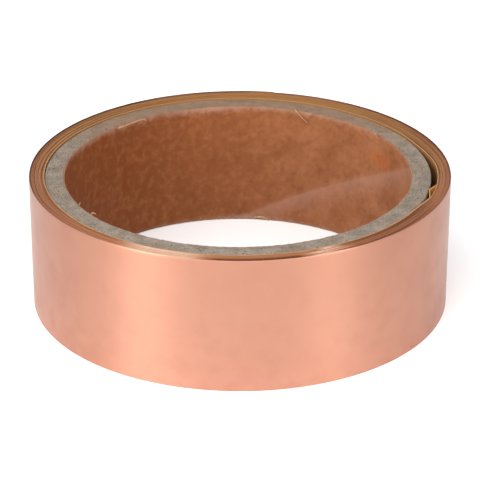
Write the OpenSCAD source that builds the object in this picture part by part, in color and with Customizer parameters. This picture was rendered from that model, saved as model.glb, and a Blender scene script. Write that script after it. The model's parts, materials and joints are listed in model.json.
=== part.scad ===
// Copper foil tape roll: a self-adhesive copper strip on its release liner, wound on a paper tube.
// +Z is up along the bore, and the origin is on the bore's axis at the roll's bottom face.
// The strip winds outwards clockwise, seen from above, with the copper outside and the liner inside.

/* [Paper tube] */
// Bore of the tube, a standard 3 inch core
core_bore_d = 76.2; // [50:0.1:102]
// Length of the tube
core_len = 29.4; // [20:0.1:48]
// Thickness of the smooth kraft ply that lines the bore
kraft_ply_t = 0.3; // [0.2:0.05:0.5]
// Thickness of each chipboard ply
board_ply_t = 0.57; // [0.4:0.01:0.8]
// Number of chipboard plies
board_plies = 7; // [3:1:9]
// Rise of a ply's seam over one whole turn of the tube
seam_pitch = 121; // [90:1:160]
// Width of the butt gap along a ply's seam
seam_gap = 0.3; // [0.2:0.05:0.6]
// Angle of the bore ply's seam at the bottom face
seam_start_a = 91.5; // [0:0.5:359.5]
// Angle from one ply's seam to the next ply's
seam_step_a = 137; // [20:1:170]

/* [Tape] */
// Width of the tape
tape_w = 30; // [20:0.5:50]
// Thickness of the copper foil
foil_t = 0.05; // [0.035:0.005:0.1]
// Thickness of the acrylic adhesive on the foil
adhesive_t = 0.035; // [0.025:0.005:0.06]
// Thickness of the paper release liner
liner_t = 0.1; // [0.06:0.01:0.15]
// Turns in the pack, not counting the first turn on the tube
pack_turns = 15; // [6:1:25]
// Air left between one turn and the next
wind_gap = 0.01; // [0.005:0.005:0.03]

/* [Start of the winding] */
// Air between the tube and the first turn
core_fit = 0.1; // [0.05:0.01:0.2]
// Air between the first turn and the pack, opposite the folded start
pack_slack = 0.2; // [0.1:0.05:0.5]
// Height from the tube to the pack at the folded start
fold_h = 1.3; // [0.8:0.05:2]
// Angle where the first turn meets the pack's inside
lap_a = -5; // [-8:0.5:10]
// Angle of the liner's leading end
fold_end_a = -10.4; // [-12:0.2:-9]
// Angle of the crease that touches the tube
fold_crease_a = -13.8; // [-15:0.2:-13]
// Angle of the crease that touches the pack
fold_top_a = -19.4; // [-22:0.2:-17]
// Air between the folded start and the pack
fold_fit = 0.05; // [0.03:0.01:0.1]

/* [Loose tail] */
// Length of the strip's loose outer end
tail_len = 24; // [12:1:40]
// Angle where the loose end begins
tail_root_a = 110; // [60:1:150]
// Air under the loose end's liner
tail_rise = 0.05; // [0.03:0.01:0.2]
// Air between the loose end's liner and its adhesive
peel_gap = 0.05; // [0.03:0.01:0.2]
// Air between the loose end and the end of the last bonded turn
root_gap = 0.05; // [0.03:0.01:0.2]

/* [Hidden] */
$fn = 180;
LAYERS = ["release_liner", "adhesive_film", "copper_foil"];
TAIL = ["tail_liner", "tail_adhesive", "tail_foil"];
BOARD = [for (i = [1 : board_plies]) str("core_board_ply_", i)];

KRAFT = "#8F5634";
CHIPBOARD = "#97897B";
LINER_PAPER = "#C39A63";
ADHESIVE = "#D8C79A";
COPPER = "#E8A98E";

// Tube
core_r = core_bore_d / 2;
core_out_r = core_r + kraft_ply_t + board_plies * board_ply_t;
// How far a seam cutter runs past the ply, inside, outside and at both ends
cut_over = 0.5;
seam_slices = 24;
seam_segments = 1;

// Strip, whose layers are counted from its inner face
web_t = liner_t + adhesive_t + foil_t;
pitch = web_t + wind_gap;
LINER_SPAN = [0, liner_t];
ADHESIVE_SPAN = [liner_t, liner_t + adhesive_t];
FOIL_SPAN = [liner_t + adhesive_t, web_t];
// A straight stretch of a layer runs on into the bent stretch beside it by this angle, and is thinner
// than it by this much on each face, so that the two join as one solid
splice_a = 0.01;
splice_inset = 0.004;

// First turn, and the pack, which the folded start pushes off centre towards +X
turn_r = core_out_r + core_fit;
near_r = turn_r + web_t + pack_slack;
far_r = turn_r + fold_h;
pack_r = (near_r + far_r) / 2;
pack_x = (far_r - near_r) / 2;
leave_a = tangent_a(pack_point(0, lap_a), 1);

// Folded start: the liner's end, the crease on the tube, the crease on the pack, and just past where the
// strip comes down onto the tube
fold_top = polar(pack_inside(fold_top_a) - web_t - fold_fit, fold_top_a);
touch_a = tangent_a(fold_top, -1);
FOLD = [
    polar(pack_inside(fold_end_a) - liner_t - fold_fit, fold_end_a),
    polar(turn_r, fold_crease_a),
    fold_top,
    polar(turn_r, touch_a - splice_a)
];
FOLD_TOP = 2;

// Loose tail, which follows on from the last half turn
last_r = pack_r + (pack_turns - 0.5) * pitch;
last_x = pack_x + pitch / 2;
tail_start_a = tail_root_a - root_gap / last_r * 180 / PI;
tail_sweep_a = tail_len / last_r * 180 / PI;

function polar(r, a) = r * [cos(a), sin(a)];

// Point in the pack's first turn, at a height of d from its inner face
function pack_point(d, a) = [pack_x, 0] + polar(pack_r + d, a);

// A straight stretch's share of a layer's thickness
function straight(span) = [span[0] + splice_inset, span[1] - splice_inset];

// Distance from the tube's axis to the pack's inside, in the direction of angle a
function pack_inside(a) = pack_x * cos(a) + sqrt(pack_r ^ 2 - (pack_x * sin(a)) ^ 2);

// Angle where a straight line from point p touches the first turn's circle, on the side given by 1 or -1
function tangent_a(p, side) = atan2(p[1], p[0]) + side * acos(turn_r / norm(p));

function reversed(list) = [for (i = [len(list) - 1 : -1 : 0]) list[i]];

// Unit normal on the outer side of the line from p to q
function outer_normal(p, q) = [p[1] - q[1], q[0] - p[0]] / norm(q - p);

// The folded start's line moved outwards by d, with mitred creases
function fold_line(d) = [
    for (i = [0 : len(FOLD) - 1])
        let (
            before = outer_normal(FOLD[max(i - 1, 0)], FOLD[max(i, 1)]),
            after = outer_normal(FOLD[min(i, len(FOLD) - 2)], FOLD[min(i + 1, len(FOLD) - 1)])
        )
        FOLD[i] + d * (before + after) / (1 + before * after)
];

// A band of tape from radius r outwards, over an angle from a counterclockwise
module band(r, t, a, sweep) {
    rotate_extrude(start = a, angle = sweep)
        translate([r, 0])
            square([t, tape_w]);
}

module tube_ply(r, t, seam_a) {
    seam_len = core_len + 2 * cut_over;
    rise_a = 360 / seam_pitch;
    difference() {
        cylinder(r = r + t, h = core_len);
        translate([0, 0, -cut_over])
            cylinder(r = r, h = seam_len);
        translate([0, 0, -cut_over])
            rotate(seam_a + cut_over * rise_a)
                linear_extrude(height = seam_len, twist = seam_len * rise_a, slices = seam_slices,
                        segments = seam_segments)
                    translate([r - cut_over, -seam_gap / 2])
                        square([t + 2 * cut_over, seam_gap]);
    }
}

module bore_kraft_ply() {
    color(KRAFT)
        tube_ply(core_r, kraft_ply_t, seam_start_a);
}

module core_board_ply(i) {
    color(CHIPBOARD)
        tube_ply(core_r + kraft_ply_t + (i - 1) * board_ply_t, board_ply_t, seam_start_a + i * seam_step_a);
}

// The folded start, from point number first of its line
module fold_band(span, first) {
    points = [first : len(FOLD) - 1];
    inner = fold_line(straight(span)[0]);
    outer = fold_line(straight(span)[1]);
    linear_extrude(height = tape_w)
        polygon(concat([for (i = points) inner[i]], reversed([for (i = points) outer[i]])));
}

// The straight stretch of strip from the tube to the pack, over the gap beside the folded start
module bridge_band(span) {
    faces = [for (d = straight(span)) [
        polar(turn_r + d, leave_a + splice_a),
        pack_point(d, lap_a - splice_a)
    ]];
    linear_extrude(height = tape_w)
        polygon(concat(faces[0], reversed(faces[1])));
}

// The pack is a spiral of half turns, with each upper one half a pitch wider and further out
module pack_band(span) {
    t = span[1] - span[0];
    for (k = [0 : pack_turns - 1]) {
        r = pack_r + k * pitch + span[0];
        lower_sweep = k == 0 ? 180 + lap_a : 180;
        upper_start = k == pack_turns - 1 ? tail_root_a : 0;
        translate([pack_x, 0, 0])
            band(r, t, -180, lower_sweep);
        translate([last_x, 0, 0])
            band(r + pitch / 2, t, upper_start, 180 - upper_start);
    }
}

// One layer of the whole wound strip
module wound_layer(span, first) {
    fold_band(span, first);
    band(turn_r + span[0], span[1] - span[0], leave_a, 360 + touch_a - leave_a);
    bridge_band(span);
    pack_band(span);
}

module release_liner() {
    color(LINER_PAPER)
        wound_layer(LINER_SPAN, 0);
}

module adhesive_film() {
    color(ADHESIVE)
        wound_layer(ADHESIVE_SPAN, FOLD_TOP);
}

module copper_foil() {
    color(COPPER)
        wound_layer(FOIL_SPAN, FOLD_TOP);
}

// One layer of the loose tail, raised by its own clearance
module tail_band(span, rise) {
    translate([last_x, 0, 0])
        band(last_r + span[0] + rise, span[1] - span[0], tail_start_a - tail_sweep_a, tail_sweep_a);
}

module tail_liner() {
    color(LINER_PAPER)
        tail_band(LINER_SPAN, tail_rise);
}

module tail_adhesive() {
    color(ADHESIVE)
        tail_band(ADHESIVE_SPAN, tail_rise + peel_gap);
}

module tail_foil() {
    color(COPPER)
        tail_band(FOIL_SPAN, tail_rise + peel_gap);
}

bore_kraft_ply();
for (i = [1 : board_plies]) core_board_ply(i);
release_liner();
adhesive_film();
copper_foil();
tail_liner();
tail_adhesive();
tail_foil();
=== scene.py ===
import json
import math

import bmesh
import bpy
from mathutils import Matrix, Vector, noise


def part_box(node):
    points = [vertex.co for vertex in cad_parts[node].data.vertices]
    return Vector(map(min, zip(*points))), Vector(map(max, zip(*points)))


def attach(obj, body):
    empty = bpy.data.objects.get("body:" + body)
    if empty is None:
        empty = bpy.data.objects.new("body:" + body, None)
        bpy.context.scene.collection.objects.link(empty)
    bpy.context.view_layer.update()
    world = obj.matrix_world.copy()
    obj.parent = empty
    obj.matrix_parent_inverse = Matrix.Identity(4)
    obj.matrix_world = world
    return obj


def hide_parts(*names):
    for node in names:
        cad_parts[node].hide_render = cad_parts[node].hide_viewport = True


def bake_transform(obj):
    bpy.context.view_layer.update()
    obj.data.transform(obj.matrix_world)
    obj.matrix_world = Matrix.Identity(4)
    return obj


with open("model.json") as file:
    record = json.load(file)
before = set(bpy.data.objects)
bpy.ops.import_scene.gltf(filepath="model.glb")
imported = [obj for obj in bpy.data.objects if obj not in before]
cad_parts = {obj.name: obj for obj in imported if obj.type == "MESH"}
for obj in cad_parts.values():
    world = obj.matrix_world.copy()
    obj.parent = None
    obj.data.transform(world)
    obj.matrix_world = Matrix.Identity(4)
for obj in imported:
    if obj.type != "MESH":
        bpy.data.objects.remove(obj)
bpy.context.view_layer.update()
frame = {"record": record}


# ---- Kraft ply that lines the tube's bore ----
# A strip of smooth brown kraft paper, wound in a spiral so that its edges meet in one slanting seam, and
# glued to the chipboard behind it. The slitting knife tore its cut edges back to pale, fuzzy fibre.
MM = 0.001
LATHE_STEPS = 480
bore_r = frame["record"]["mounts"][0]["dims"]["r_mm"] * MM
tube_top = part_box("bore_kraft_ply")[1].z
kraft_out_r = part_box("bore_kraft_ply")[1].x
SEAM_PITCH = 121 * MM
SEAM_START = math.radians(91.5)


def linear(hex_colour):
    """An sRGB colour such as #8F5634 as linear RGBA."""
    shares = [int(hex_colour[i : i + 2], 16) / 255 for i in (1, 3, 5)]
    return [c / 12.92 if c <= 0.04045 else ((c + 0.055) / 1.055) ** 2.4 for c in shares] + [1.0]


def add(tree, kind, inputs, out=0, **settings):
    """One output of a new shader node, whose inputs are each a socket, a hex colour or a plain value."""
    made = tree.nodes.new("ShaderNode" + kind)
    for name, value in settings.items():
        setattr(made, name, value)
    for name, value in inputs.items():
        if isinstance(value, bpy.types.NodeSocket):
            tree.links.new(value, made.inputs[name])
        else:
            made.inputs[name].default_value = linear(value) if isinstance(value, str) else value
    return made.outputs[out]


def new_material(name):
    """An empty material, its node tree, and the input that its shader goes to."""
    made = bpy.data.materials.new(name)
    made.use_nodes = True
    made.node_tree.nodes.remove(made.node_tree.nodes["Principled BSDF"])
    return made, made.node_tree, made.node_tree.nodes["Material Output"].inputs["Surface"]


def mottled(tree, coords, scale, low, high, detail=3.0, rough=0.55):
    """Cloudiness of a scale in features per coordinate unit, stretched so that low to high becomes 0 to 1."""
    cloud = add(tree, "TexNoise", {"Vector": coords, "Scale": scale, "Detail": detail, "Roughness": rough})
    return add(tree, "MapRange", {"Value": cloud, "From Min": low, "From Max": high})


# A Mix node's colour inputs and output come after those for its other kinds of data
MIX_A, MIX_B, MIX_OUT = 6, 7, 2


def stained(tree, colour, *stains):
    """A colour with stains laid over it in turn. Each is how much it covers, and its own colour."""
    for cover, stain in stains:
        colour = add(tree, "Mix", {0: cover, MIX_A: colour, MIX_B: stain}, MIX_OUT, data_type="RGBA")
    return colour


def embossed(tree, *reliefs):
    """The normal of a surface with reliefs laid one on another. Each is a height and its depth in metres."""
    under = {}
    for height, depth in reliefs:
        under["Normal"] = add(tree, "Bump", {"Height": height, "Distance": depth, **under})
    return under["Normal"]


def kraft_paper():
    """Calendered brown kraft paper: a soft sheen, cloudy fibre, and pale pulp where the skin is torn."""
    made, tree, end = new_material("kraft_paper")
    grain = add(tree, "Attribute", {}, "Vector", attribute_name="grain")
    seam = add(tree, "Attribute", {}, "Fac", attribute_name="above_seam")
    torn = add(tree, "Attribute", {}, "Fac", attribute_name="below_edge")
    soaked = add(tree, "Attribute", {}, "Fac", attribute_name="soaked")
    spot = add(tree, "TexCoord", {}, "Object")
    # Painted light and shade: the bore's wall is painted darker and redder towards -X, and lighter towards
    # +X, where the light from the left falls on it
    side_of_bore = add(tree, "SeparateXYZ", {"Vector": spot}, "X")
    painted_side_light = add(tree, "MapRange", {
        "Value": side_of_bore, "From Min": -0.7 * bore_r, "From Max": 0.8 * bore_r})
    # The next turn of the strip starts at the seam, with glue-greyed paper along its edge
    fade = add(tree, "MapRange", {"Value": seam, "From Min": -7.0, "From Max": -0.4},
               interpolation_type="SMOOTHSTEP")
    below_seam = add(tree, "MapRange", {"Value": seam, "From Min": 0.6, "From Max": -0.6})
    greyed = add(tree, "Math", {0: fade, 1: below_seam}, operation="MULTIPLY")
    greyed = add(tree, "Math", {0: greyed, 1: 0.38}, operation="MULTIPLY")
    # The seam itself is a faint dark line less than half a millimetre wide
    line_above = add(tree, "MapRange", {"Value": seam, "From Min": 0.3, "From Max": 0.0},
                     interpolation_type="SMOOTHSTEP")
    line_below = add(tree, "MapRange", {"Value": seam, "From Min": -0.15, "From Max": 0.0})
    line = add(tree, "Math", {0: line_above, 1: line_below}, operation="MULTIPLY")
    line = add(tree, "Math", {0: line, 1: 0.15}, operation="MULTIPLY")
    # Torn pulp fades out 0.8 to 2.9 mm from the cut edge
    reach = add(tree, "Math", {0: mottled(tree, spot, 45, 0.4, 0.7, 1.0), 1: 1.1, 2: 0.2},
                operation="MULTIPLY_ADD")
    ragged = add(tree, "Math", {0: mottled(tree, spot, 700, 0.3, 0.7, 4.0), 1: 1.0, 2: reach},
                 operation="MULTIPLY_ADD")
    bare = add(tree, "Math", {0: ragged, 1: torn}, operation="SUBTRACT")
    bare = add(tree, "MapRange", {"Value": bare, "From Min": -0.6, "From Max": 1.6, "To Max": 0.68},
               interpolation_type="SMOOTHSTEP")
    # Clouds of pulp 6 mm across, specks of 1.7 mm, and mottling of 1.3 mm that follows the strip
    colour = stained(
        tree, "#71370F",
        # Painted light on the wall towards +X
        (painted_side_light, "#935F3F"),
        (mottled(tree, spot, 160, 0.3, 0.85, 5.0), "#703C1B"),
        (mottled(tree, spot, 600, 0.45, 1.2, 4.0), "#9A663E"),
        (soaked, "#9C4E18"),
        (mottled(tree, grain, 3.0, 0.5, 1.1, 3.0), "#65361A"),
        (greyed, "#A07868"),
        (line, "#5C3018"),
        (bare, "#9E7C6A"),
    )
    # Fibres 0.5 mm apart, the step at the seam, and the pulp standing up
    normal = embossed(tree, (mottled(tree, spot, 2200, 0.3, 0.7), 0.03 * MM), (below_seam, 0.05 * MM),
                      (bare, 0.06 * MM))
    shader = add(tree, "BsdfPrincipled", {
        "Base Color": colour, "Normal": normal, "Roughness": 0.6, "IOR": 1.5, "Specular IOR Level": 0.18})
    tree.links.new(shader, end)
    return made


def turned(bm, outline):
    """A closed outline of (radius, height) points swept once round the bore's axis."""
    corners = [bm.verts.new((r, 0, z)) for r, z in outline]
    sides = [bm.edges.new((corners[i - 1], corners[i])) for i in range(len(corners))]
    bmesh.ops.spin(bm, geom=corners + sides, cent=(0, 0, 0), axis=(0, 0, 1), dvec=(0, 0, 0),
                   angle=math.tau, steps=LATHE_STEPS, use_merge=True, use_normal_flip=False,
                   use_duplicate=False)
    bmesh.ops.remove_doubles(bm, verts=bm.verts, dist=0.001 * MM)
    bmesh.ops.recalc_face_normals(bm, faces=bm.faces)


def waver(*place):
    """Smooth noise between -1 and 1, whose features are one unit of the place across."""
    return noise.noise(Vector(place))


def as_piece(name, bm, finish, body="roll", replaces=(), attributes={}):
    """An object made from a bmesh, with its attributes, its materials, its body and what it replaces."""
    bm.verts.ensure_lookup_table()
    mesh = bpy.data.meshes.new(name)
    bm.to_mesh(mesh)
    for title, (kind, rule) in attributes.items():
        layer = mesh.attributes.new(title, kind, "POINT")
        field = "vector" if kind == "FLOAT_VECTOR" else "value"
        flat = []
        for v in bm.verts:
            value = rule(v)
            flat.extend(value if kind == "FLOAT_VECTOR" else [value])
        layer.data.foreach_set(field, flat)
    bm.free()
    mesh.shade_smooth()
    mesh.set_sharp_from_angle(angle=math.radians(35))
    for material in finish:
        mesh.materials.append(material)
    made = bpy.data.objects.new(name, mesh)
    bpy.context.scene.collection.objects.link(made)
    if body:
        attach(made, body)
    if replaces:
        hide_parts(*replaces)
    return made


def bearing(v):
    """A vertex's angle round the bore and its distance from the axis."""
    return math.atan2(v.co.y, v.co.x), math.hypot(v.co.x, v.co.y)


def seam_height(v):
    """Millimetres along the tube from the seam up to a vertex."""
    angle = (bearing(v)[0] - SEAM_START + math.pi) % math.tau - math.pi
    return (v.co.z + SEAM_PITCH * angle / math.tau) / MM


def torn_back(angle, side):
    """How far the kraft's cut edge is torn back at an angle."""
    x, y = math.cos(angle), math.sin(angle)
    slow = 0.5 + 0.5 * waver(3 * x, 3 * y, 7 * side)
    quick = 0.5 + 0.5 * waver(34 * x, 34 * y, 2 + side)
    return (0.1 + 0.45 * slow * quick + 0.12 * waver(90 * x, 90 * y, side)) * MM


def glue_patch(v):
    """A patch 8 mm long, 3 mm above the seam, where the glue came through."""
    along, up = (math.degrees(bearing(v)[0]) - 31) / 6, (v.co.z / MM - 23.2) / 1.5
    return 0.6 * math.exp(-along**2 - up**2)


KRAFT_ROWS = 30
rows = [tube_top * i / KRAFT_ROWS for i in range(KRAFT_ROWS + 1)]
bm = bmesh.new()
turned(bm, [(bore_r, z) for z in rows] + [(kraft_out_r, z) for z in (rows[-1], rows[-2], rows[1], rows[0])])
for v in bm.verts:
    angle = bearing(v)[0]
    x, y = math.cos(angle), math.sin(angle)
    upper = v.co.z > tube_top / 2
    near = max(0, 1 - min(v.co.z, tube_top - v.co.z) / (1.5 * tube_top / KRAFT_ROWS))
    v.co.z += near * torn_back(angle, 1 if upper else 5) * (-1 if upper else 1)
    swell = 0.03 * waver(12 * x, 12 * y, v.co.z / MM / 4) * MM
    v.co.x += swell * x
    v.co.y += swell * y
# The kraft's mottling is drawn at this many units a millimetre, and climbs with the strip as the seam does
KRAFT_GRAIN = 0.25
as_piece(
    "tube_kraft_ply", bm, [kraft_paper()], replaces=["bore_kraft_ply"],
    attributes={
        "grain": ("FLOAT_VECTOR", lambda v: (
            KRAFT_GRAIN * v.co.x / MM, KRAFT_GRAIN * v.co.y / MM, KRAFT_GRAIN * seam_height(v))),
        "above_seam": ("FLOAT", seam_height),
        "below_edge": ("FLOAT", lambda v: min(v.co.z, tube_top - v.co.z) / MM),
        "soaked": ("FLOAT", glue_patch),
    },
)

# ---- Torn fibres on the kraft ply's cut edges ----
# Where the slitting knife dragged, it left a curled shaving, a split with its lip turned out, and a few
# frayed ends. They are the ply's own paper, still joined to its edge.


def on_bore(degrees, height, inset):
    """A point near the bore's wall, from its angle, its height and its distance inwards in millimetres."""
    r, angle = bore_r - inset * MM, math.radians(degrees)
    return Vector((r * math.cos(angle), r * math.sin(angle), height * MM))


def shaving(name, paper, points, width, thick, twist=0.0):
    """A torn strip of paper along a smooth curve, tapering to its far end. Its sizes are in millimetres."""
    bm = bmesh.new()
    bmesh.ops.create_grid(bm, x_segments=28, y_segments=3, size=0.5)
    for v in bm.verts:
        t, across = v.co.x + 0.5, v.co.y
        place = t * (len(points) - 1)
        i = min(int(place), len(points) - 2)
        u = place - i
        before, after = points[max(i - 1, 0)], points[min(i + 2, len(points) - 1)]
        a, b = points[i], points[i + 1]
        straight = (b - a) * u * u * (3 - 2 * u)
        bow = ((b - before) * (1 - u) - (after - a) * u) * u * (1 - u) / 2
        on_curve = a + straight + bow
        lean = twist * t
        outwards = Vector((on_curve.x, on_curve.y, 0)).normalized()
        edge = Vector((0, 0, math.cos(lean))) - outwards * math.sin(lean)
        ragged = 1 + 0.25 * waver(9 * t, 3 * across, points[0].x / MM)
        v.co = on_curve + edge * across * width * MM * ragged * (1 - 0.65 * t**2)
    bmesh.ops.recalc_face_normals(bm, faces=bm.faces)
    bmesh.ops.solidify(bm, geom=bm.faces[:], thickness=thick * MM)
    bmesh.ops.recalc_face_normals(bm, faces=bm.faces)
    as_piece(name, bm, [paper])


def torn_kraft(name, dark, light):
    """The fuzzy inside of kraft paper where its skin has been pulled off."""
    made, tree, end = new_material(name)
    spot = add(tree, "TexCoord", {}, "Object")
    # Tufts of 0.7 mm, with fibres 0.3 mm apart
    colour = stained(tree, dark, (mottled(tree, spot, 1400, 0.35, 0.7), light))
    normal = embossed(tree, (mottled(tree, spot, 3500, 0.3, 0.7), 0.03 * MM))
    shader = add(tree, "BsdfPrincipled", {
        "Base Color": colour, "Normal": normal, "Roughness": 0.95, "IOR": 1.5, "Specular IOR Level": 0.2})
    tree.links.new(shader, end)
    return made


pale_tear = torn_kraft("torn_kraft_pale", "#9E7350", "#C09A72")
brown_tear = torn_kraft("torn_kraft_brown", "#74452A", "#946440")
shaving("kraft_curl", pale_tear, [on_bore(137, 28.8, 0.12), on_bore(132.5, 28.9, 0.25),
                                  on_bore(128.5, 29.2, 0.5), on_bore(126, 29.35, 0.9),
                                  on_bore(125.2, 28.9, 1.2)], 0.34, 0.09, 0.7)
shaving("kraft_split_lip", pale_tear, [on_bore(69.3, 29.5, 0.15), on_bore(67.8, 28.6, 0.35),
                                       on_bore(66, 27.6, 0.4), on_bore(64.4, 26.7, 0.2)], 0.38, 0.08, 0.9)
shaving("kraft_split_flap", brown_tear, [on_bore(62.2, 29.2, 0.1), on_bore(62.8, 28.7, 0.3),
                                         on_bore(63.6, 28.2, 0.3)], 0.6, 0.08, 0.3)
# Frayed ends: the angle and height of the root and of the tip, how far the tip stands in, and the width
FRAYS = (
    (-152.4, 29.2, -154.0, 29.2, 0.8, 0.30),
    (-144.6, 29.2, -143.0, 29.3, 0.7, 0.28),
    (34.5, 29.2, 32.2, 28.8, 0.5, 0.40),
    (84.0, 0.7, 78.5, 0.4, 0.6, 0.50),
)
FRAY_THICK = 0.075
for count, (root, low, tip, high, stand, width) in enumerate(FRAYS, 1):
    middle = on_bore((root + tip) / 2, max(low, high) + 0.25, 0.55 * stand)
    shaving(f"kraft_fray_{count}", pale_tear, [on_bore(root, low, 0.05), middle, on_bore(tip, high, stand)],
            width, FRAY_THICK)

# ---- Chipboard plies of the tube ----
# Seven strips of grey recycled chipboard, wound and glued one on another to make the tube's wall, each
# with its own slanting butt seam. The knife left their edges rough, flecked and a little uneven.
BOARD_PLIES = 7
SEAM_STEP = math.radians(137)
SEAM_HALF_WIDTH = 0.15 * MM
SEAM_SUNK = 0.5 * MM
KNIFE_WEAR = 0.05 * MM
OUTER_CORNER_WEAR = 0.3 * MM
# Where two plies came apart, and where the knife tore fibres out of the two inner plies, in degrees from +X
SPLIT_PLY, SPLIT_AT, SPLIT_REACH, SPLIT_DEPTH = 6, 91, 3.3, 0.45 * MM
GOUGE_AT, GOUGE_REACH, GOUGE_DEPTH = -20, 3.2, 0.35 * MM


def chipboard():
    """Recycled board seen on its cut edge: warm grey pulp, dark and pale flecks laid along each ply."""
    made, tree, end = new_material("chipboard")
    grain = add(tree, "Attribute", {}, "Vector", attribute_name="grain")
    spot = add(tree, "TexCoord", {}, "Object")
    # On the far side the cut face is browner, with kraft dust and glue rubbed over it
    far_side = add(tree, "SeparateXYZ", {"Vector": spot}, "Y")
    rubbed = add(tree, "MapRange", {
        "Value": far_side, "From Min": 8 * MM, "From Max": 32 * MM, "To Max": 0.6},
        interpolation_type="SMOOTHSTEP")
    # Flecks 1 mm long and 0.3 mm thick along the ply, over pulp that clouds every 3 mm
    colour = stained(
        tree, "#7B6E61",
        (mottled(tree, spot, 350, 0.35, 0.65), "#918477"),
        (mottled(tree, grain, 1.0, 0.56, 0.72, 3.0), "#5C4F42"),
        (mottled(tree, grain, 1.7, 0.6, 0.74, 2.0), "#AC9E90"),
        (mottled(tree, spot, 1500, 0.66, 0.74, 1.0), "#3F362E"),
        (mottled(tree, spot, 900, 0.64, 0.75, 1.0), "#8F7159"),
        (rubbed, "#7F5F45"),
    )
    normal = embossed(tree, (mottled(tree, grain, 2.4, 0.3, 0.7, 4.0), 0.12 * MM),
                      (mottled(tree, spot, 3000, 0.3, 0.7), 0.05 * MM))
    shader = add(tree, "BsdfPrincipled", {
        "Base Color": colour, "Normal": normal, "Roughness": 0.93, "IOR": 1.5, "Specular IOR Level": 0.2})
    tree.links.new(shader, end)
    return made


def board_grain(v):
    """A place in millimetres, three times finer through the ply and along the tube than round it."""
    return v.co.x / MM, v.co.y / MM, 3 * (bearing(v)[1] + v.co.z) / MM


board = chipboard()
board_in_r = kraft_out_r
for ply in range(1, BOARD_PLIES + 1):
    node = f"core_board_ply_{ply}"
    board_out_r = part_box(node)[1].x
    outer_wear = OUTER_CORNER_WEAR if ply == BOARD_PLIES else KNIFE_WEAR
    crown = [(board_in_r, tube_top - KNIFE_WEAR), (board_in_r + KNIFE_WEAR, tube_top),
             ((board_in_r + board_out_r) / 2, tube_top), (board_out_r - 0.6 * outer_wear, tube_top),
             (board_out_r, tube_top - outer_wear)]
    foot = [(r, tube_top - z) for r, z in reversed(crown)]
    level = 0.06 * waver(ply * 1.7, 0.3, 0.5) * MM
    seam_turn = SEAM_START + ply * SEAM_STEP
    bm = bmesh.new()
    turned(bm, crown + [(board_out_r, tube_top - 1 * MM), (board_out_r, 1 * MM)] + foot
           + [(board_in_r, 1 * MM), (board_in_r, tube_top - 1 * MM)])
    for v in bm.verts:
        angle, r = bearing(v)
        x, y = math.cos(angle), math.sin(angle)
        upper = v.co.z > tube_top / 2
        at_cut = max(0, 1 - min(v.co.z, tube_top - v.co.z) / (0.5 * MM))
        rough = 0.05 * waver(30 * x, 30 * y, r / MM) + 0.035 * waver(110 * x, 110 * y, 3 * r / MM)
        sunk = level + (rough - 0.06) * MM
        gap = (angle - seam_turn + math.tau * v.co.z / SEAM_PITCH + math.pi) % math.tau - math.pi
        if abs(gap) * r < SEAM_HALF_WIDTH:
            sunk -= SEAM_SUNK
        if upper and ply == SPLIT_PLY and abs(math.degrees(angle) - SPLIT_AT) < SPLIT_REACH:
            sunk -= SPLIT_DEPTH
        if upper and ply < 3 and abs(math.degrees(angle) - GOUGE_AT) < GOUGE_REACH:
            sunk -= GOUGE_DEPTH * (0.5 + 0.5 * waver(60 * x, 60 * y, 3.3))
        v.co.z += (1 if upper else -1) * at_cut * min(sunk, 0)
    as_piece(f"tube_board_ply_{ply}", bm, [board], replaces=[node],
             attributes={"grain": ("FLOAT_VECTOR", board_grain)})
    board_in_r = board_out_r

# ---- Wound strip: copper foil, adhesive and release liner ----
# One strip 30 mm wide of annealed copper foil, coated inside with clear acrylic adhesive that a waxy tan
# paper liner covers, wound sixteen times round the tube. The turns' slit edges don't quite line up.
FOIL_T, ADHESIVE_T, LINER_T = 0.05 * MM, 0.035 * MM, 0.1 * MM
WEB_T = FOIL_T + ADHESIVE_T + LINER_T
PITCH = WEB_T + 0.01 * MM
PACK_TURNS = 15
TURNS = PACK_TURNS + 1
LINER_SPAN = (0, LINER_T)
ADHESIVE_SPAN = (LINER_T, LINER_T + ADHESIVE_T)
FOIL_SPAN = (LINER_T + ADHESIVE_T, WEB_T)
foil_low, foil_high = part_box("copper_foil")
tape_w = foil_high.z
CORE_FIT = 0.1 * MM
turn_r = board_out_r + CORE_FIT
pack_x = (foil_low.x + foil_high.x) / 2
pack_r = (foil_high.x - foil_low.x) / 2 - WEB_T - (PACK_TURNS - 1) * PITCH
far_x = pack_x + PITCH / 2
# Angles round the winding count clockwise from +X, as the strip runs, and go on rising turn after turn
LAP = math.radians(5)
FOLD_END, FOLD_CREASE, FOLD_TOP = math.radians(10.4), math.radians(13.8), math.radians(19.4)
FOLD_FIT = 0.05 * MM
INNER_STEP = math.radians(3)
OUTER_STEP = math.radians(0.6)
# The first turn leaves the tube this far before +X, where it reaches the pack's inside. Past the folded
# start, the turns above it close in over the second angle
LEAVE = math.radians(23)
CLEAR_FOLD = math.radians(6)


def clockwise(r, angle, x=0.0):
    """A point at a radius and a winding angle about an axis that stands x from the bore's."""
    return Vector((x + r * math.cos(angle), -r * math.sin(angle), 0))


def pack_inside(angle):
    """Distance from the bore's axis to the inside of the pack."""
    return pack_x * math.cos(angle) + math.sqrt(pack_r**2 - (pack_x * math.sin(angle)) ** 2)


def off(a, b):
    """The unit normal on the outer side of a straight stretch from a to b."""
    return Vector((a.y - b.y, b.x - a.x, 0)).normalized()


def mitred(before, after):
    """Where a crease between two stretches moves with each unit of depth."""
    return (before + after) / (1 + before.dot(after))


def arc(x, r, first, last, step):
    """Stations along an arc: a point on the strip's inner face, its outward direction and its angle."""
    count = max(1, round((last - first) / step))
    angles = [first + (last - first) * i / count for i in range(count + 1)]
    return [(clockwise(r, a, x), clockwise(1, a), a) for a in angles]


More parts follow.
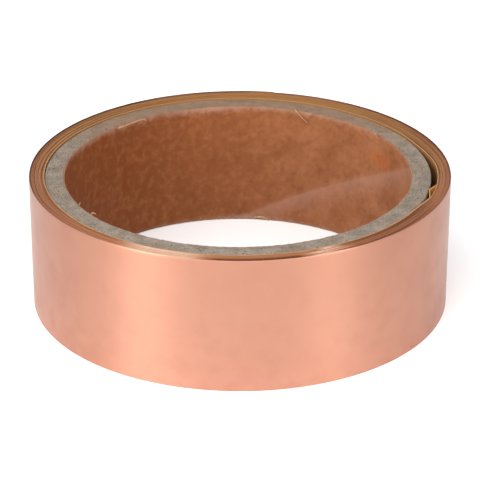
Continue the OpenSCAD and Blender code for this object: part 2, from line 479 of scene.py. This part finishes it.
def pack(first, last, step):
    """Stations through the pack, a spiral of half turns, from one winding angle to another."""
    stations = []
    half = int(first // math.pi) - 2
    while (half + 2) * math.pi < last - 1e-9:
        start, end = max(first, (half + 2) * math.pi), min(last, (half + 3) * math.pi)
        stretch = arc(far_x if half % 2 else pack_x, pack_r + half * PITCH / 2, start, end, step)
        stations += stretch[1 if stations else 0 :]
        half += 1
    return stations


def smooth(share):
    """A share held between 0 and 1, easing out of one and into the other."""
    share = min(1, max(0, share))
    return share * share * (3 - 2 * share)


def around(angle):
    """A winding angle as an angle from +X, between half a turn back and half a turn on."""
    return (-angle + math.pi) % math.tau - math.pi


def beneath(b):
    """Distance from the axis to the first turn's inner face, at an angle b counted from +X."""
    if -touch < b <= -FOLD_TOP:
        return turn_r / math.cos(b + touch)
    # It leaves the tube early and rises to the pack, so that it bridges the gap beside the folded start
    risen = smooth((LEAVE - b) / LEAVE) if b > -FOLD_TOP else 0
    return turn_r + risen * (pack_inside(b) - turn_r)


def settled(stations):
    """The inner turns drawn in against the first one, except where the folded start holds them off."""
    drawn = []
    for point, out, angle in stations:
        b = around(angle)
        turn = int((angle - math.tau - LAP) / math.tau + 1e-9)
        on_fold = -FOLD_TOP < b <= -LAP
        clear = smooth((-FOLD_TOP - b) / CLEAR_FOLD) if b <= -FOLD_TOP else 1
        slack = point.length - turn * PITCH - beneath(b) - WEB_T - 0.02 * MM
        depth = (angle - math.tau) / (outer_from - math.tau)
        share = 0 if on_fold else clear * max(0, 1 - depth)
        drawn.append((point - out * max(0, slack) * share, out, angle))
    return drawn


fold_end = clockwise(pack_inside(FOLD_END) - LINER_T - FOLD_FIT, FOLD_END)
fold_crease = clockwise(turn_r, FOLD_CREASE)
fold_top = clockwise(pack_inside(FOLD_TOP) - WEB_T - FOLD_FIT, FOLD_TOP)
# Where the straight stretch down from the fold's top meets the first turn's circle
touch = math.atan2(-fold_top.y, fold_top.x) + math.acos(turn_r / fold_top.length)
to_crease, to_top = off(fold_end, fold_crease), off(fold_crease, fold_top)
to_tube = off(fold_top, clockwise(turn_r, touch))
folded_liner = [(fold_end, to_crease, FOLD_END), (fold_crease, mitred(to_crease, to_top), FOLD_CREASE)]
folded = [(fold_top, mitred(to_top, to_tube), FOLD_TOP)]

# The outermost turn begins under the loose tail's tip. The tail's piece starts 20 degrees before the root,
# so that the bend lies inside it
TAIL_AT = math.radians(110)
TAIL_LENGTH = 24 * MM
tail_root = TURNS * math.tau - TAIL_AT
last_r = pack_r + (PACK_TURNS - 0.5) * PITCH
tail_end = tail_root + TAIL_LENGTH / last_r
outer_from = tail_end - math.tau
bend_from = tail_root - math.radians(20)
first_turn = [(clockwise(beneath(around(angle)), angle), out, angle)
              for _, out, angle in arc(0, turn_r, touch, math.tau + LAP - INNER_STEP, INNER_STEP)]
inner_path = folded + first_turn + settled(pack(math.tau + LAP, outer_from, INNER_STEP))
outer_path = pack(outer_from, bend_from, OUTER_STEP)
tail_path = pack(bend_from, tail_end, OUTER_STEP)


# Angles from +X, in degrees, of small nicks in the outermost turn's bottom edge
NICKS = (-103.5, -58.0, -53.0)
# Shallow grooves between the turns' edges: the turn at each one's middle, its half width in turns, its depth
GROOVES = ((2.7, 0.9, 0.75), (6.5, 0.7, 0.35), (10.2, 0.8, 0.4), (14.6, 0.7, 0.3))


def dip(angle, top):
    """How far below the strip's full width a slit edge sits, which makes some turns' edges dark lines."""
    turn = angle / math.tau
    x, y = math.cos(angle), -math.sin(angle)
    inner = min(1, max(0, (outer_from - angle) / 0.5))
    # At the front the edges slope in evenly, and behind the bore they lie in the grooves
    behind = smooth((y + 0.75) / 0.7)
    slope = 0.45 * (1 - behind) * min(1, (TURNS - turn) / 5)
    uneven = 0.5 * (0.5 + 0.5 * waver(0.9 * x, 0.9 * y, 0.47 * turn + (0 if top else 40)))
    for groove, width, depth in GROOVES:
        shallow = 1 - 0.75 * smooth((x - 0.2) / 0.5)
        uneven += depth * shallow * max(0, 1 - abs(turn - groove - 0.5 * waver(x, y, groove)) / width)
    fine = 0.04 * (0.5 + 0.5 * waver(14 * x, 14 * y, 3 * turn + (7 if top else 60)))
    nick = 0
    if not top and not inner:
        nick = 0.4 * max(0, *(1 - abs(math.degrees(around(angle)) - place) / 0.7 for place in NICKS))
    return (0.02 + fine + nick + inner * (0.05 + slope + behind * uneven)) * MM


def edge_smears_and_light(angle, turn):
    """Painted light on the turns' slit edges, partly dark copper smears from the slitting knife: below 0 is
    painted shade and smears, above 0 is a painted highlight.
    """
    b = math.degrees(around(angle))
    lines = smooth(0.35 + 3 * waver(1.7 * turn, b / 45, 2.5))
    flecks = smooth(0.5 + 3 * waver(2.3 * turn, b / 1.3, 0.4))
    # A painted highlight to the left of the front and dotted painted highlights to its right, where the soft
    # lights catch the edges, and painted shade with dark smears between and beyond them
    painted_highlight = smooth((b + 126) / 10) * smooth((-97 - b) / 8) * (0.8 + 0.2 * lines)
    dotted_highlight = smooth((b + 74) / 4) * smooth((-57 - b) / 4) * flecks
    dark = smooth((b + 101) / 6) * smooth((-70 - b) / 6) * smooth((turn - 5) / 4)
    dark += 0.65 * lines * smooth((b + 66) / 8) * smooth((-15 - b) / 20)
    dark += 0.5 * lines * smooth((b + 172) / 30) * smooth((-122 - b) / 8)
    # The outermost turns' edges are painted dark as shade, except under the painted highlight
    outer_edge_shade = smooth((turn - TURNS + 2.4) / 0.6) * (1 - painted_highlight) * 0.55
    return max(painted_highlight, dotted_highlight) - max(min(1, dark), outer_edge_shade)


# Heights in millimetres of a layer's rows across the strip's 30 mm, close together at the slit edges
FEW_ROWS = [0, 1, 29, 30]
MANY_ROWS = [0, 0.08, 0.2, 0.4, 0.8] + [1.8 * i for i in range(1, 16)] + [28.4, 29.2, 29.6, 29.8, 29.92, 30]
# How far in from a slit edge the dip reaches
DIP_REACH = 0.9 * MM


def strip(stations, span, rows, recess=0.0, shape=None):
    """One layer of the strip: a flat sheet wrapped round its own thickness and laid along the stations."""
    profile = [(span[0], z * MM) for z in rows] + [(span[1], z * MM) for z in reversed(rows)]
    columns = len(stations) - 1
    bm = bmesh.new()
    turn = bm.verts.layers.float.new("turn")
    turns = bm.verts.layers.float_vector.new("turns")
    smear_and_light = bm.verts.layers.float.new("smear_and_light")
    bmesh.ops.create_grid(bm, x_segments=columns, y_segments=len(profile), size=0.5)
    for v in bm.verts:
        base, out, angle = stations[round((v.co.x + 0.5) * columns)]
        depth, z = profile[round((v.co.y + 0.5) * len(profile)) % len(profile)]
        top = z > tape_w / 2
        edge = max(0, 1 - (tape_w - z if top else z) / DIP_REACH)
        z += (-1 if top else 1) * edge * (dip(angle, top) + recess)
        if shape:
            depth += shape(z, angle)
        v.co = base + out * depth + Vector((0, 0, z))
        v[turn] = angle / math.tau
        v[turns] = (1.2 * math.cos(angle), 1.2 * math.sin(angle), 0.8 * v[turn])
        # Each vertex keeps the slit edges' painted highlight and painted shade, with their dark smears
        v[smear_and_light] = edge_smears_and_light(angle, v[turn])
    bmesh.ops.remove_doubles(bm, verts=bm.verts, dist=0.0002 * MM)
    bmesh.ops.holes_fill(bm, edges=[e for e in bm.edges if e.is_boundary], sides=0)
    bmesh.ops.recalc_face_normals(bm, faces=bm.faces)
    # Faces on the slit edges take the layer's second material, where it has one
    for f in bm.faces:
        f.material_index = 1 if abs(f.normal.z) > 0.6 else 0
    return bm


def rolled_copper():
    """Annealed copper foil, satin from the rolling mill, with cloudy handling marks and slight dents."""
    made, tree, end = new_material("copper_foil_annealed")
    grain = add(tree, "Attribute", {}, "Vector", attribute_name="grain")
    spot = add(tree, "TexCoord", {}, "Object")
    # Painted reflection: lighter towards the bottom edge, where the bright table is mirrored, and darker
    # towards the top edge; with marks 15 mm across and tarnish clouds of 4 mm
    height = add(tree, "SeparateXYZ", {"Vector": spot}, "Z")
    painted_reflection_fade = add(tree, "MapRange", {"Value": height, "From Max": tape_w})
    colour = stained(
        tree, "#C08D78",
        # Painted reflection: darker towards the top edge
        (painted_reflection_fade, "#B3806A"),
        (mottled(tree, spot, 65, 0.35, 0.75), "#B98570"),
        (mottled(tree, spot, 240, 0.45, 0.9), "#B4806C"),
    )
    cloud = mottled(tree, spot, 120, 0.35, 0.7, 4.0)
    rough = add(tree, "MapRange", {"Value": cloud, "To Min": 0.4, "To Max": 0.47})
    # Rolling lines 0.6 mm apart and 12 mm long, over slack dents 14 mm across
    normal = embossed(tree, (mottled(tree, grain, 1.7, 0.3, 0.7), 0.002 * MM),
                      (mottled(tree, spot, 70, 0.3, 0.7, 1.0), 0.05 * MM))
    rolled = add(tree, "Tangent", {}, direction_type="RADIAL", axis="Z")
    shader = add(tree, "BsdfPrincipled", {
        "Base Color": colour, "Roughness": rough, "Normal": normal, "Tangent": rolled,
        "Metallic": 1.0, "Anisotropic": 0.7, "Anisotropic Rotation": 0.25})
    tree.links.new(shader, end)
    return made


def edge_stains_and_light(tree, spot):
    """Colours on a slit edge: redder to the front, a painted highlight where bright, and painted shade with
    smears of copper and adhesive where dark.
    """
    place = add(tree, "SeparateXYZ", {"Vector": spot}, "Y")
    red = add(tree, "MapRange", {"Value": place, "From Min": 0.03, "From Max": -0.03, "To Max": 0.85})
    smear_and_light = add(tree, "Attribute", {}, "Fac", attribute_name="smear_and_light")
    # The painted highlight, and below it the painted shade with dark smears
    painted_highlight = add(tree, "MapRange", {"Value": smear_and_light, "To Max": 0.9})
    dark = add(tree, "MapRange", {"Value": smear_and_light, "From Max": -0.9})
    return (red, "#AA6C4E"), (painted_highlight, "#F3CBB2"), (dark, "#4A180E")


def slit_copper():
    """The foil's slit edge, dulled brown by the knife and smeared adhesive, with painted highlights and
    painted shade.
    """
    made, tree, end = new_material("slit_copper_edge")
    spot = add(tree, "TexCoord", {}, "Object")
    turns = add(tree, "Attribute", {}, "Vector", attribute_name="turns")
    # Each turn has its own shade, with specks of 2 mm
    colour = stained(
        tree, "#5F3423",
        (mottled(tree, turns, 1.0, 0.35, 0.65), "#A56E55"),
        (mottled(tree, spot, 500, 0.45, 0.9), "#B98467"),
        *edge_stains_and_light(tree, spot),
    )
    rough = add(tree, "MapRange", {
        "Value": mottled(tree, spot, 900, 0.3, 0.7), "To Min": 0.4, "To Max": 0.65})
    shader = add(tree, "BsdfPrincipled", {
        "Base Color": colour, "Roughness": rough, "Metallic": 0.6})
    tree.links.new(shader, end)
    return made


def acrylic_adhesive():
    """Clear acrylic adhesive on the foil's back: glossy, faintly yellow, with the copper showing."""
    made, tree, end = new_material("acrylic_adhesive")
    spot = add(tree, "TexCoord", {}, "Object")
    # Thicker and thinner places 3 mm across, with ripples of 1.4 mm
    thickness = mottled(tree, spot, 300, 0.4, 0.7)
    # Its slit edges carry the same stains, painted highlights and painted shade as the foil's
    colour = stained(tree, "#9A6A4A", (thickness, "#B5845F"), *edge_stains_and_light(tree, spot))
    normal = embossed(tree, (mottled(tree, spot, 700, 0.3, 0.7), 0.01 * MM))
    shader = add(tree, "BsdfPrincipled", {
        "Base Color": colour, "Normal": normal, "Metallic": 0.4, "Roughness": 0.32,
        "Coat Weight": 0.5, "Coat Roughness": 0.15})
    tree.links.new(shader, end)
    return made


def liner_paper(name, edge):
    """Tan release paper, silicone coated: smooth, faintly glossy, with a cloudy sheet under the coat."""
    made, tree, end = new_material(name)
    spot = add(tree, "TexCoord", {}, "Object")
    turn = add(tree, "Attribute", {}, "Fac", attribute_name="turn")
    if edge:
        # Each turn's edge is stained by the copper's and the adhesive's smears, with painted highlights and
        # painted shade laid over them, and the first is clean
        turns = add(tree, "Attribute", {}, "Vector", attribute_name="turns")
        clean = add(tree, "MapRange", {"Value": turn, "From Min": 1.15, "From Max": 1.0})
        colour = stained(tree, "#6B4329", (mottled(tree, turns, 1.0, 0.35, 0.62), "#A47A49"),
                         *edge_stains_and_light(tree, spot), (clean, "#C99C66"))
        gloss = {"Roughness": 0.8, "Specular IOR Level": 0.25}
    else:
        # Painted light: the folded end is painted a bright orange, as if lit inside the fold, and the wound
        # paper keeps its colour
        painted_fold_light = add(tree, "MapRange", {"Value": turn, "From Min": 0.12, "From Max": 0.06})
        colour = stained(tree, "#8A5E34", (painted_fold_light, "#EBA14E"))
        gloss = {"Roughness": 0.5, "IOR": 1.45, "Coat Weight": 0.15, "Coat Roughness": 0.3}
    # Fibres of 0.6 mm, under a coat with ripples of 0.7 mm
    colour = stained(tree, colour, (mottled(tree, spot, 1800, 0.6, 0.85, 2.0), "#8E6236"))
    normal = embossed(tree, (mottled(tree, spot, 1500, 0.3, 0.7), 0.01 * MM))
    shader = add(tree, "BsdfPrincipled", {"Base Color": colour, "Normal": normal, **gloss})
    tree.links.new(shader, end)
    return made


def burnished(z, angle):
    """The outermost foil's top edge is rubbed over inwards by handling, and its face is a little wavy."""
    rub = max(0, 1 - (tape_w - z) / (0.5 * MM)) ** 2
    x, y = math.cos(angle), math.sin(angle)
    return (-0.09 * rub + 0.015 * waver(3 * x, 3 * y, z / MM / 12)) * MM


# The copper's grain is drawn out twenty times along the strip
ALONG_TAPE = 0.05
tape_grain = {"grain": ("FLOAT_VECTOR", lambda v: (
    ALONG_TAPE * v.co.x / MM, ALONG_TAPE * v.co.y / MM, v.co.z / MM))}
copper = [rolled_copper(), slit_copper()]
adhesive = [acrylic_adhesive()]
liner = [liner_paper("release_liner_face", False), liner_paper("release_liner_edge", True)]
LAYERS = (
    ("foil", FOIL_SPAN, copper, "copper", "copper_foil", "tail_foil", "tail"),
    ("adhesive", ADHESIVE_SPAN, adhesive, "acrylic_adhesive", "adhesive_film", "tail_adhesive", "tail"),
    ("liner", LINER_SPAN, liner, "liner_paper", "release_liner", "tail_liner", "liner_flap"),
)
# How much further in each layer's slit edge sits than the liner's in the inner turns. In the outermost
# turn, the adhesive and the liner stop short under the foil's rubbed-over edge
INNER_RECESS = {"foil": 0.03 * MM, "adhesive": 0.1 * MM, "liner": 0}
OUTER_RECESS = {"foil": 0, "adhesive": 0.35 * MM, "liner": 0.35 * MM}
for name, span, finish, slot, node, _, _ in LAYERS:
    path = (folded_liner if name == "liner" else []) + inner_path
    bm = strip(path, span, FEW_ROWS, INNER_RECESS[name])
    as_piece(f"{name}_inner_turns", bm, finish, replaces=[node], attributes=tape_grain)
    bm = strip(outer_path, span, MANY_ROWS, OUTER_RECESS[name], burnished if name == "foil" else None)
    as_piece(f"{name}_outer_turn", bm, finish, attributes=tape_grain)

# ---- Loose tail ----
# The last 24 mm of the strip, which nothing holds down. Foil and adhesive lift together, and the liner
# peels away from them by half as much. Each layer bends over 4 mm at the root.
# How far each layer has come off the turn below it, a third of the way along the tail's piece
RISE = {"foil": 0.1 * MM, "adhesive": 0.1 * MM, "liner": 0.05 * MM}
for name, span, finish, slot, _, node, body in LAYERS:
    def eased(z, angle, rise=RISE[name], foil=name == "foil"):
        share = min(1, max(0, (angle - bend_from) / (tail_end - bend_from)))
        return rise * min(1, share * 3) + (burnished(z, angle) if foil else 0)

    bm = strip(tail_path, span, MANY_ROWS, OUTER_RECESS[name], eased)
    piece = as_piece(f"{name}_tail", bm, finish, body=None, replaces=[node], attributes=tape_grain)
    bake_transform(piece)

# ---- Studio ----
# A pale table, a bright surround, two tall soft lights left and right of the camera, and a broad one above
# it. The camera looks down at the roll from the front.
floor_mesh = bmesh.new()
bmesh.ops.create_grid(floor_mesh, x_segments=1, y_segments=1, size=3)
floor_data = bpy.data.meshes.new("table_top")
floor_mesh.to_mesh(floor_data)
floor_mesh.free()
floor = bpy.data.objects.new("table_top", floor_data)
bpy.context.scene.collection.objects.link(floor)
floor_material, floor_tree, floor_end = new_material("white_table")
floor_shader = add(floor_tree, "BsdfPrincipled", {"Base Color": "#F7F7F7", "Roughness": 0.9})
floor_tree.links.new(floor_shader, floor_end)
floor_data.materials.append(floor_material)

world = bpy.data.worlds.new("studio")
bpy.context.scene.world = world
world.use_nodes = True
sky = world.node_tree
background = sky.nodes["Background"]
# The surround is brighter on the camera's side than behind the roll, and cooler where it is dimmer
direction = add(sky, "TexCoord", {}, "Generated")
facing = add(sky, "VectorMath", {0: direction, 1: (-0.02, -0.62, 0.0)}, "Value", operation="DOT_PRODUCT")
glow = add(sky, "Math", {0: facing, 1: 1.06}, operation="ADD")
cool = add(sky, "MapRange", {"Value": glow, "From Min": 1.2, "From Max": 0.6})
sky.links.new(glow, background.inputs["Strength"])
sky.links.new(stained(sky, "#FFFFFF", (cool, "#DDE8F4")), background.inputs["Color"])

LOOK_AT = Vector((pack_x, 0, 12.6 * MM))


def soft_light(name, azimuth, elevation, distance, width, height, power):
    """A rectangular soft light that faces the roll. Azimuth counts from the camera's side, to the right."""
    data = bpy.data.lights.new(name, "AREA")
    data.shape = "RECTANGLE"
    data.size, data.size_y, data.energy = width, height, power
    data.color = linear("#F6F6F5")[:3]
    made = bpy.data.objects.new(name, data)
    bpy.context.scene.collection.objects.link(made)
    a, e = math.radians(azimuth), math.radians(elevation)
    towards = Vector((math.sin(a) * math.cos(e), -math.cos(a) * math.cos(e), math.sin(e)))
    made.location = LOOK_AT + distance * towards
    made.rotation_euler = towards.to_track_quat("Z", "Y").to_euler()


soft_light("key_left", -50, 14, 0.9, 0.35, 0.9, 7.3)
soft_light("fill_right", 47, 12, 1.0, 0.36, 0.8, 4.2)
soft_light("front", -15, 55, 0.9, 0.8, 0.6, 4.8)

VIEW_ELEVATION = math.radians(25.5)
VIEW_DISTANCE = 0.488
camera_data = bpy.data.cameras.new("camera")
camera_data.lens = 164
camera_data.sensor_width = 36
camera_data.clip_start = 0.01
camera = bpy.data.objects.new("camera", camera_data)
bpy.context.scene.collection.objects.link(camera)
view_from = Vector((0, -math.cos(VIEW_ELEVATION), math.sin(VIEW_ELEVATION)))
camera.location = LOOK_AT + VIEW_DISTANCE * view_from
camera.rotation_euler = view_from.to_track_quat("Z", "Y").to_euler()
bpy.context.scene.camera = camera
bpy.context.scene.view_settings.view_transform = "Standard"
